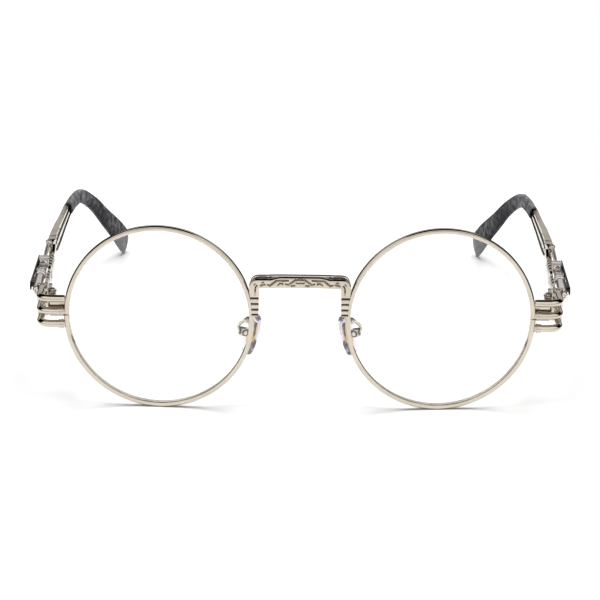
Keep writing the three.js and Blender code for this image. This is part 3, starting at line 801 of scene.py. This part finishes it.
def bezier(points, steps):
    a, b, c, d = (Vector(p) for p in points)
    return [a * (1 - t) ** 3 + b * (3 * t * (1 - t) ** 2) + c * (3 * t * t * (1 - t)) + d * t ** 3
            for t in (i / steps for i in range(steps))]


def pad_outline(shrink):
    """A teardrop, widest near its foot."""
    half, wide = PAD_LENGTH / 2 - shrink, PAD_WIDTH / 2 - shrink

    def stretch(points, steps):
        return bezier([(x * wide, z * half) for x, z in points], steps)

    right = stretch([(0, -1), (1.25, -1), (1.1, 0), (0.9, 0.5)], 20)
    top = stretch([(0.9, 0.5), (0.7, 1), (-0.7, 1), (-0.9, 0.5)], 24)
    left = stretch([(-0.9, 0.5), (-1.1, 0), (-1.25, -1), (0, -1)], 20)
    return right + top + left


def nose_pad():
    """A soft lens-shaped pad: flat towards the nose, domed at the back over its insert."""
    rings = []
    layers = [(0.0, 2.2), (0.0, 1.0), (0.04, 0.5), (0.17, 0.2), (0.5, 0.03), (1.2, 0.0),
              (1.62, 0.1), (1.86, 0.38), (2.02, 0.9), (2.1, 1.7)]
    for depth, shrink in layers:
        rings.append([Vector((-PAD_THICK + depth, p.x, p.y)) for p in pad_outline(shrink)])
    return loft(rings).moved(PAD)


def pad_bore():
    return turned([(-2, PAD_BORE), (2, PAD_BORE)], (PAD_PIVOT, 0, 0), sides=24)


def pad_insert():
    """A rounded gilt shoe cast into the pad, with the tab that hangs in the box."""
    shoe = []
    for depth, size in ((0.0, 0.9), (0.08, 1.0), (0.3, 1.0), (0.38, 0.9)):
        shoe.append([Vector((-1.5 + depth, 1.75 * size * math.cos(a), 3.3 * size * math.sin(a)))
                     for a in circle(40)])
    tab = block((-1.3, -0.35, -0.8), (1.75, 0.35, 0.8), 0.15)
    return united([loft(shoe), tab], [pad_bore()]).moved(PAD)


def pad_box():
    """The slotted box that the tab hangs in, with painted shade in its slot and on a dark seat ring
    for the screw.
    """
    outer = block((0.5, -1.05, -1.1), (2.5, 1.05, 1.1), 0.3)
    slot = block((0, -0.45, -2), (2.05, 0.45, 2), 0.02)
    box = united([outer], [slot, pad_bore()], 0.05)
    seat = turned([(-1.1, 0.5), (-1.1, 0.95), (-1.0, 1.0), (-1.0, 0.5)], (PAD_PIVOT, 0, 0),
                  closed=True)
    box.join(seat)
    # Painted shade: the slot's walls and the seat ring in front of the box.
    return box.shaded(lambda p: 1.0 if abs(p.y) < 0.47 or p.y < -1.055 else 0.0).moved(PAD)


def pad_arm():
    """The wire that loops back from the rim to the pad's box, with a bead at its root."""
    seat = PAD @ Vector((2.7, 0, 0.1))
    route = [(13.75, 0.6, 24.7), (14.4, 1.9, 24.4), (15.3, 3.5, 23.2), (16.5, 5.3, 21.2), seat]
    wire = tube(catmull(route, 48), 0.42, 20)
    bead = ball((13.85, 1.75, 24.3), 0.95, UP, 24, 12)
    return united([wire, bead])


pair("pad_arm", pad_arm(), "front", CHAMPAGNE)
pair("pad_box", pad_box(), "front", CHAMPAGNE)
PAD_SCREW_SEAT = PAD @ Vector((PAD_PIVOT, -1.07, 0))
PAD_SCREW_AXIS = PAD.to_3x3() @ Vector((0, -1, 0))
pair("pad_screw", screw(PAD_SCREW_SEAT, PAD_SCREW_AXIS, 0.62, 0.35, 0.36, 2.1), "front", STEEL)
pair("pad_insert", pad_insert(), "{side}_nose_pad", GILT)
pair("nose_pad", nose_pad(), "{side}_nose_pad", SILICONE)


# ---- temples: plates ----
PLATE_MIDDLE, PLATE_THICK = 1.95, 0.9
BARREL_X, BARREL_Z = 3.95, 27.4


def quad_line(a, b, c, steps=10):
    """Points after a on the quadratic curve a-b-c."""
    a, b, c = (Vector(p).to_2d() for p in (a, b, c))
    return [a.lerp(b, t).lerp(b.lerp(c, t), t) for t in ((i + 1) / steps for i in range(steps))]


def arc(centre, radius, angles):
    return [(centre[0] + radius * math.cos(a), centre[1] + radius * math.sin(a)) for a in angles]


def eyelet(centre, radius):
    return arc(centre, radius, circle(20))


def filigree_outline():
    """The inner plate, whose rear end curls up round its rivet."""
    belly = quad_line((32, 23.0), (39.4, 23.7), (40.4, 27.2))
    curl = arc((39, 27.2), 1.4, [0.55 * math.pi * i / 8 for i in range(1, 9)])
    return [(1.95, 22.1), (32, 23.0), *belly, *curl, (36, 27.4), (1.95, 27.4)]


NOTCH_LEAN, NOTCH_HALF, NOTCH_PITCH = 1.4, 0.58, 2.35
NOTCH_STARTS = [12.2 + NOTCH_PITCH * i for i in range(3)]
NOTCH_STARTS += [24.4 + NOTCH_PITCH * i for i in range(4)]
WINDOW = (20.2, 24.0), (23.0, 26.4)
# Pits in the top edge: middle (x, y), half length, half width.
PITS = [((2.05, 8.2), 0.42, 0.3), ((2.05, 36.0), 0.55, 0.32), ((2.05, 5.6), 0.28, 0.25),
        ((2.0, 21.6), 1.5, 0.36)]


def notch(y):
    """A cutter that crosses the plate's top edge on the slant."""
    near, far = y - NOTCH_HALF, y + NOTCH_HALF
    plan = [(1.3, near - 0.2), (2.6, near + NOTCH_LEAN + 0.2),
            (2.6, far + NOTCH_LEAN + 0.2), (1.3, far - 0.2)]
    return loft([[Vector((u, v, z)) for u, v in plan] for z in (25.8, 28.5)])


def cut_shade(p):
    """Painted shade: 1 for faces on the walls and floors of the notches, pits and window."""
    for y in NOTCH_STARTS:
        centre = y + NOTCH_LEAN * (p.x - 1.5) / 0.9
        if abs(p.y - centre) < NOTCH_HALF + 0.03 and 25.7 < p.z < 27.33 and 1.45 < p.x < 2.45:
            return 1.0 if 1.52 < p.x < 2.38 else 0.0
    (a, b), (c, d) = WINDOW
    in_window = a - 0.05 < p.y < c + 0.05 and b - 0.05 < p.z < d + 0.05 and 1.6 < p.x < 2.3
    in_pit = any(math.hypot((p.x - x) / wide, (p.y - y) / long) < 1.03 and 26.8 < p.z < 27.32
                 for (x, y), long, wide in PITS)
    return 1.0 if in_window or in_pit else 0.0


def filigree():
    """The inner plate with its window, eyelets, shelf, slanted notches and pits."""
    (a, b), (c, d) = WINDOW
    holes = [[(a, b), (c, b), (c, d), (a, d)], eyelet((9.3, 25.6), 0.5),
             eyelet((35.2, 25.2), 0.55), eyelet((39.0, 27.2), 0.62)]
    skin = plate(filigree_outline(), holes, lambda u, v, w: (PLATE_MIDDLE + w, u, v),
                 PLATE_THICK, 0.1)
    shelf = block((1.7, 29.2, 23.4), (3.22, 37.3, 26.7), 0.16)
    cutters = [notch(y) for y in NOTCH_STARTS]
    for (x, y), long, wide in PITS:
        oval = Matrix.Translation((x, y, 0)) @ Matrix.Diagonal((wide, long, 1, 1))
        cutters.append(upright(0, 0, 26.9, 28, 1.0, 20).moved(oval))
    return united([skin, shelf], cutters).shaded(cut_shade)


def side_plate():
    """The narrow outer strip with a round front lobe, and its two bosses on the barrel."""
    thick, front_x, slant = 0.4, 5.95, 0.028
    lobe = arc((5.9, 27.35), 1.2, [math.pi * (0.5 + i / 16) for i in range(1, 17)])
    outline = [(28.6, 26.4), (28.6, 28.8), (6, 28.55), *lobe]
    skin = plate(outline, [], lambda u, v, w: (front_x - slant * u + thick / 2 + w, u, v),
                 thick, 0.14)
    sleeve_boss = block((BARREL_X + 1.2, 6, BARREL_Z - 0.5), (front_x, 12, BARREL_Z + 0.5), 0.08)
    end_boss = block((BARREL_X + 1.1, 24.8, BARREL_Z - 0.5), (5.35, 28.3, BARREL_Z + 0.5), 0.08)
    strip = united([skin, sleeve_boss, end_boss])
    # Painted dark reflection on every face except the outer face's skin.
    return strip.shaded(lambda p: 1.0 if p.x < front_x + 0.31 - slant * p.y else 0.0)


# ---- temples: barrel ----
BARREL = TEMPLE @ Matrix.Translation((BARREL_X, 0, BARREL_Z))
BARREL_RADIUS = 1.3
BORE = 0.6
END_LOW, END_HIGH = Vector((-1.55, 24.5, -1.3)), Vector((1.15, 28.6, 1.3))
END_LINES, LINE_HALF, LINE_DEPTH = (25.35, 27.6), 0.16, 0.18


def on_barrel(corners, radius=0.12):
    """A turned sleeve on the rod; its corners are (distance from the hinge, radius)."""
    return turned(rounded_profile(corners, radius), sides=48, closed=True)


def barrel_rod():
    """The rod, which rises behind the barrel and ends in a small ball."""
    bend, end = Vector((0, 29.5, 0)), Vector((-0.5, 39.4, 1.65))
    path = [Vector((0, 1.5 + 28 * i / 20, 0)) for i in range(20)]
    path += bezier([bend, (0, 33, 0), (-0.3, 34, 1.45), end], 20) + [end]
    knob = ball(end, 0.92, (0, 0.9, 0.3), 32, 20)
    return united([tube(path, 0.55, 24), knob])


def barrel_sleeve():
    r = BARREL_RADIUS
    return on_barrel([(1.3, BORE), (1.3, r - 0.3), (1.75, r), (2.2, r), (2.32, r - 0.12),
                      (2.6, r - 0.05), (12.6, r - 0.05), (12.85, r - 0.12), (13.0, r), (13.4, r),
                      (13.6, r - 0.2), (13.6, BORE)])


def hollow_shade(shape, middle, half, radius):
    """Paints shade on the faces near a turned piece's middle that lie within a radius."""
    return shape.shaded(
        lambda p: 1.0 if abs(p.y - middle) < half and math.hypot(p.x, p.z) < radius else 0.0)


def barrel_rings():
    """Two rings with painted shade in the deep groove between them."""
    r = BARREL_RADIUS + 0.2
    rings = on_barrel([(13.7, BORE), (13.7, r - 0.35), (13.95, r), (14.85, r), (15.1, r - 0.3),
                       (15.14, r - 0.55), (15.46, r - 0.55), (15.5, r - 0.3), (15.75, r),
                       (16.65, r), (16.9, r - 0.35), (16.9, BORE)], 0.18)
    return hollow_shade(rings, 15.3, 0.3, 1.25)


def cross_wrap():
    """A core between two beads, lashed with bands that cross on every side."""
    r = BARREL_RADIUS
    core = on_barrel([(17, BORE), (17, r - 0.1), (17.25, r), (17.55, r), (17.75, r - 0.4),
                      (23.65, r - 0.4), (23.85, r), (24.15, r), (24.4, r - 0.1), (24.4, BORE)])
    # Painted shade on the core between the bands.
    solids = [hollow_shade(core, 20.7, 3, 1.05)]
    for hand in (1, -1):
        for start in circle(4):
            path = []
            for i in range(33):
                a = start + hand * math.pi * i / 32
                path.append(Vector((0.98 * math.cos(a), 17.4 + 6.6 * i / 32, 0.98 * math.sin(a))))
            solids.append(tube(path, 0.3, 14))
    return Shape().join(*solids)


def hoop(at):
    """A square hoop that engraves a line round the end block."""
    inset = Vector((LINE_DEPTH, 0, LINE_DEPTH))
    inner, outer = (END_LOW + inset, END_HIGH - inset), (Vector((-2.2, 0, -2)), Vector((1.8, 0, 2)))
    front, back = at - LINE_HALF, at + LINE_HALF
    rings = []
    for (low, high), y in ((inner, front), (inner, back), (outer, back), (outer, front)):
        rings.append([Vector((low.x, y, low.z)), Vector((high.x, y, low.z)),
                      Vector((high.x, y, high.z)), Vector((low.x, y, high.z))])
    return loft(rings, loop=True)


def barrel_end():
    """The squared end block with two engraved lines across each side, and painted shade in the
    lines.
    """
    cutters = [turned([(24, BORE), (30, BORE)]), *(hoop(at) for at in END_LINES)]
    body = united([block(END_LOW, END_HIGH, 0.16)], cutters)
    return body.shaded(
        lambda p: 1.0 if any(abs(p.y - at) < LINE_HALF + 0.03 for at in END_LINES) else 0.0)


def rivet():
    """A flush pin with slightly domed ends."""
    profile = [(1.48, 0.001), (1.49, 0.35), (1.54, 0.57), (1.6, 0.6), (3.55, 0.6), (3.61, 0.57),
               (3.66, 0.35), (3.67, 0.001)]
    return turned(profile, (0, 39, 27.2), (1, 0, 0), 32)


# ---- temples: bar and tip ----
TIP_START_Y = 72.4
# Stations along the bar: middle x, y, middle z, half thickness, height.
BAR_STATIONS = [
    (3.1, 37.6, 27.2, 0.55, 1.9), (3.13, 40.3, 27.15, 0.58, 2.0), (2.98, 41.5, 27.2, 0.85, 3.3),
    (2.8, 43.4, 26.85, 1.15, 4.3), (2.73, 46.5, 26.48, 1.0, 5.44), (2.45, 50.7, 26.7, 0.93, 5.4),
    (2.19, 55, 26.95, 0.88, 5.0), (1.35, 64, 27.7, 0.75, 3.9),
    (0.45, TIP_START_Y - 0.15, 28.85, 0.75, 3.2),
]
BAR_LEAN = 0.6
TIP_LINE = [(-0.1, TIP_START_Y, 29.1), (-1.35, 76.9, 30.1), (-2.95, 81.4, 30.3),
            (-6.25, 90.9, 25.2), (-9.4, 100.6, 17.7), (-12.4, 112.2, 9.7), (-14.9, 120.4, 2.87)]


def swept(points, steps, section, painted_shade=None):
    """A skin along a line: section(w) gives (u across, v straight up) points at 0 <= w <= 1."""
    path = catmull(points, steps)
    rings = []
    for i, (at, along) in enumerate(zip(path, tangents(path))):
        across = Vector((along.y, -along.x, 0)).normalized()
        rings.append([at + across * u + UP * v for u, v in section(i / steps)])
    shape, sides = loft(rings), len(rings[0])
    if painted_shade:
        shape.painted_shade = [painted_shade(j, i / steps) for i in range(steps) for j in range(sides)] + [0, 0]
    return shape


def along_stations(stations, w):
    """Values read off the stations, eased from one to the next."""
    lengths = [0.0]
    for a, b in zip(stations, stations[1:]):
        lengths.append(lengths[-1] + (Vector(b[:3]) - Vector(a[:3])).length)
    s = w * lengths[-1]
    for a, b, start, end in zip(stations, stations[1:], lengths, lengths[1:]):
        if s <= end + 1e-9:
            t = smooth(s, start, end) * 0.5 + 0.5 * (s - start) / (end - start)
            return [p + (q - p) * t for p, q in zip(a[3:], b[3:])]
    return list(stations[-1][3:])


# Channels along the bar's inner face: middle and half width, as parts of its height.
GROOVES = [(0.18, 0.1), (-0.27, 0.1)]
GROOVE_DEPTH = 0.32


def bar_section(w):
    """A bar with two channels along its inner face, which leans in towards its foot."""
    half, tall = along_stations(BAR_STATIONS, w)
    depth = GROOVE_DEPTH * smooth(w, 0.13, 0.2)
    corners = [(half, -0.5), (half, 0.5), (-half, 0.5)]
    for middle, wide in GROOVES:
        corners += [(-half, middle + wide), (-half + depth, middle + wide * 0.7),
                    (-half + depth, middle - wide * 0.7), (-half, middle - wide)]
    corners.append((-half, -0.5))
    ends = smooth(w, 0, 0.012) * 0.3 + 0.7
    lean = BAR_LEAN * min(1, w * 2)
    scaled = [(u * ends - (lean * (0.5 - v) if u < 0 else 0), v * tall) for u, v in corners]
    return rounded_profile(scaled, 0.16, 4)


def bar_channel_shade(j, w):
    """Paints shade on the channels' floors and walls: corners 3 to 6 and 7 to 10, five points each.
    """
    corner = j // 5
    inside = corner in (4, 5, 8, 9) or (corner in (3, 7) and j % 5 > 1) \
        or (corner in (6, 10) and j % 5 < 2)
    return 1.0 if inside and w > 0.16 else 0.0


def temple_bar():
    """The bar, and the tang that carries on from it inside the tip."""
    line = [station[:3] for station in BAR_STATIONS]
    bar = swept(line, 110, bar_section, bar_channel_shade)
    along = (Vector(TIP_LINE[1]) - Vector(TIP_LINE[0])).normalized()
    start = Vector(TIP_LINE[0]) - along * 1.6
    tang = swept([start, TIP_LINE[0], *TIP_LINE[1:3], (-5.0, 87.0, 28.0)], 40, tang_section)
    return bar.join(tang)


def tang_section(_):
    """The tang's section is the same all along."""
    corners = [(0.75, -1.1), (0.75, 1.1), (0.0, 1.1), (0.0, -1.1)]
    return rounded_profile(corners, 0.12)


TIP_THICK, TIP_START, TIP_ARCH, TIP_END, TIP_ROUND = 2.5, 4.0, 4.2, 7.9, 0.93
TIP_SIDES, TIP_ROUNDNESS = 56, 0.72


def tip_section(w, shrink=0.0):
    """A squared oval that widens towards the round end of the tip."""
    front = TIP_START + (TIP_ARCH - TIP_START) * smooth(w, 0, 0.2)
    tall = (front + (TIP_END - front) * smooth(w, 0.25, 1.05)) / 2
    end = max(0.0, (w - TIP_ROUND) / (1 - TIP_ROUND))
    fade = math.sqrt(max(0.0, 1 - end * end * 0.985))
    wide = TIP_THICK / 2 * (0.4 + 0.6 * fade)
    section = []
    for a in circle(TIP_SIDES):
        u, v = (math.copysign(abs(f) ** TIP_ROUNDNESS, f) for f in (math.cos(a), math.sin(a)))
        lift = fade if v > 0 else 1 - 0.06 * end
        section.append((u * (wide - shrink), v * (tall - shrink) * lift))
    return section


def temple_tip():
    """The plastic end cover, hollowed at its mouth where the bar goes in."""
    steps = 130
    path = catmull(TIP_LINE, steps)
    along = tangents(path)

    def ring(i, shrink, back=0.0):
        across = Vector((along[i].y, -along[i].x, 0)).normalized()
        rise = across.cross(along[i])
        at = path[i] + along[i] * back
        return [at + across * u + rise * v for u, v in tip_section(i / steps, shrink)]

    rings = [ring(0, 0.42, 1.7), ring(0, 0.4, 0.16), ring(0, 0.33, 0.03), ring(0, 0.16, 0.0),
             ring(0, 0.05, 0.06)]
    rings += [ring(i, 0.0, 0.16 if i == 0 else 0.0) for i in range(steps + 1)]
    return loft(rings)


for name, shape, place, finish in (
    ("filigree_plate", filigree(), TEMPLE, CHAMPAGNE),
    ("side_plate", side_plate(), TEMPLE, CHAMPAGNE),
    ("barrel_rod", barrel_rod(), BARREL, LIT_SATIN),
    ("barrel_sleeve", barrel_sleeve(), BARREL, LIT_SATIN),
    ("barrel_rings", barrel_rings(), BARREL, LIT_SATIN),
    ("cross_wrap", cross_wrap(), BARREL, LIT_SATIN),
    ("barrel_end", barrel_end(), BARREL, LIT_SATIN),
    ("temple_rivet", rivet(), TEMPLE, STEEL),
    ("temple_bar", temple_bar(), TEMPLE, CHAMPAGNE),
    ("temple_tip", temple_tip(), TEMPLE, BLACK),
):
    pair(name, shape.moved(place), "{side}_temple", finish)


# ---- floor, light and camera ----
# The floor reaches far enough forward to be what the front faces reflect.
FLOOR_RADIUS, FLOOR_Y = 0.228, -0.062
PALE, PALER = (0.9, 0.9, 0.9), (0.92, 0.92, 0.92)


def floor():
    """A plain pale round table top, with a faint satin mottle."""
    edge = [(FLOOR_RADIUS * math.cos(a), FLOOR_Y + FLOOR_RADIUS * math.sin(a), 0)
            for a in circle(128)]
    mesh = bpy.data.meshes.new("floor")
    mesh.from_pydata(edge, [], [range(128)])
    obj = linked("floor", mesh)
    material, tree, shader = nodes_of("pale_floor")
    colour = ramp_of(tree, noise_of(tree, 3, 2.0), [(0.3, PALE), (0.7, PALER)])
    tree.links.new(colour, shader.inputs["Base Color"])
    shader.inputs["Roughness"].default_value = 0.9
    shader.inputs["Specular IOR Level"].default_value = 0.0
    obj.data.materials.append(material)


# Where each light fades in, from 0 to 1: by the height of a ray's direction for its foot and
# top, and by how far the ray points to the front for its sides.
WALL_LIGHT, WALL_FOOT, WALL_TOP, WALL_SIDES = 1.55, (0.0, 0.04), (0.92, 0.86), (0.05, 0.35)
BACK_LIGHT, BACK_FOOT, BACK_TOP, BACK_SIDES = 0.75, (0.10, 0.17), (0.52, 0.45), (-0.4, -0.72)
# Matt surfaces get this much of it, so that the softbox's shadows show.
DIFFUSE_CUT = 0.2
SOFTBOX_SIZE, SOFTBOX_HEIGHT, SOFTBOX_POWER = 1.1, 1.2, 23.5
CAMERA_LENS = 139.56
CAMERA_PLACE, CAMERA_TARGET = Vector((0, -583.6, 233.9)), Vector((0, 20.8, 23.41))
CAMERA_ROLL = math.radians(0.59)


def glow_strength(tree):
    """A broad bright wall in front, a low light behind, and darkness above and beside them."""
    _, y, height = coordinates(tree, "Generated")
    front = maths(tree, "MULTIPLY", y, -1.0)
    total = 0.0
    for light, foot, top, sides in ((WALL_LIGHT, WALL_FOOT, WALL_TOP, WALL_SIDES),
                                    (BACK_LIGHT, BACK_FOOT, BACK_TOP, BACK_SIDES)):
        band = maths(tree, "MULTIPLY", stair(tree, height, *foot), stair(tree, height, *top))
        band = maths(tree, "MULTIPLY", band, stair(tree, front, *sides))
        total = maths(tree, "ADD", total, maths(tree, "MULTIPLY", band, light))
    return total


def world():
    """The studio's light, dimmed for matt surfaces, and plain white for the camera."""
    studio = bpy.data.worlds.new("studio")
    studio.use_nodes = True
    tree = studio.node_tree
    tree.nodes.clear()
    ray = tree.nodes.new("ShaderNodeLightPath")
    cut = maths(tree, "MULTIPLY", ray.outputs["Is Diffuse Ray"], DIFFUSE_CUT - 1)
    light = maths(tree, "MULTIPLY", glow_strength(tree), maths(tree, "ADD", cut, 1))
    glow = tree.nodes.new("ShaderNodeBackground")
    tree.links.new(light, glow.inputs["Strength"])
    white = tree.nodes.new("ShaderNodeBackground")
    white.inputs["Color"].default_value = (1, 1, 1, 1)
    mix = tree.nodes.new("ShaderNodeMixShader")
    out = tree.nodes.new("ShaderNodeOutputWorld")
    tree.links.new(ray.outputs["Is Camera Ray"], mix.inputs["Fac"])
    tree.links.new(glow.outputs[0], mix.inputs[1])
    tree.links.new(white.outputs[0], mix.inputs[2])
    tree.links.new(mix.outputs[0], out.inputs["Surface"])
    bpy.context.scene.world = studio
    bpy.context.scene.view_settings.view_transform = "Standard"


def maths(tree, operation, a, b):
    """A maths node; each of its inputs is an output or a number."""
    node = tree.nodes.new("ShaderNodeMath")
    node.operation = operation
    for socket, value in zip(node.inputs, (a, b)):
        if isinstance(value, (int, float)):
            socket.default_value = value
        else:
            tree.links.new(value, socket)
    return node.outputs[0]


def stair(tree, value, zero_at, one_at):
    """0 where value is at zero_at, 1 at one_at, eased between them."""
    return range_of(tree, value, 0.0, 1.0, zero_at, one_at, "SMOOTHSTEP")


def softbox():
    """A wide lamp overhead, seen by neither the camera nor the metal."""
    lamp = bpy.data.lights.new("top_light", "AREA")
    lamp.size, lamp.energy = SOFTBOX_SIZE, SOFTBOX_POWER
    obj = linked("top_light", lamp)
    place = Vector((0, 0.1, SOFTBOX_HEIGHT))
    obj.location = place
    obj.rotation_euler = (-place).to_track_quat("-Z", "Y").to_euler()
    obj.visible_glossy = False
    obj.visible_camera = False


def camera():
    lens_data = bpy.data.cameras.new("camera")
    lens_data.lens, lens_data.sensor_width = CAMERA_LENS, 36.0
    lens_data.clip_start = 0.01
    obj = linked("camera", lens_data)
    place, target = ((point + ALONG_Y * SHIFT_Y) * MM
                     for point in (CAMERA_PLACE, CAMERA_TARGET))
    aim = (target - place).to_track_quat("-Z", "Y").to_matrix().to_4x4()
    roll = Matrix.Rotation(CAMERA_ROLL, 4, "Z")
    obj.matrix_world = Matrix.Translation(place) @ aim @ roll
    bpy.context.scene.camera = obj


floor()
world()
softbox()
camera()
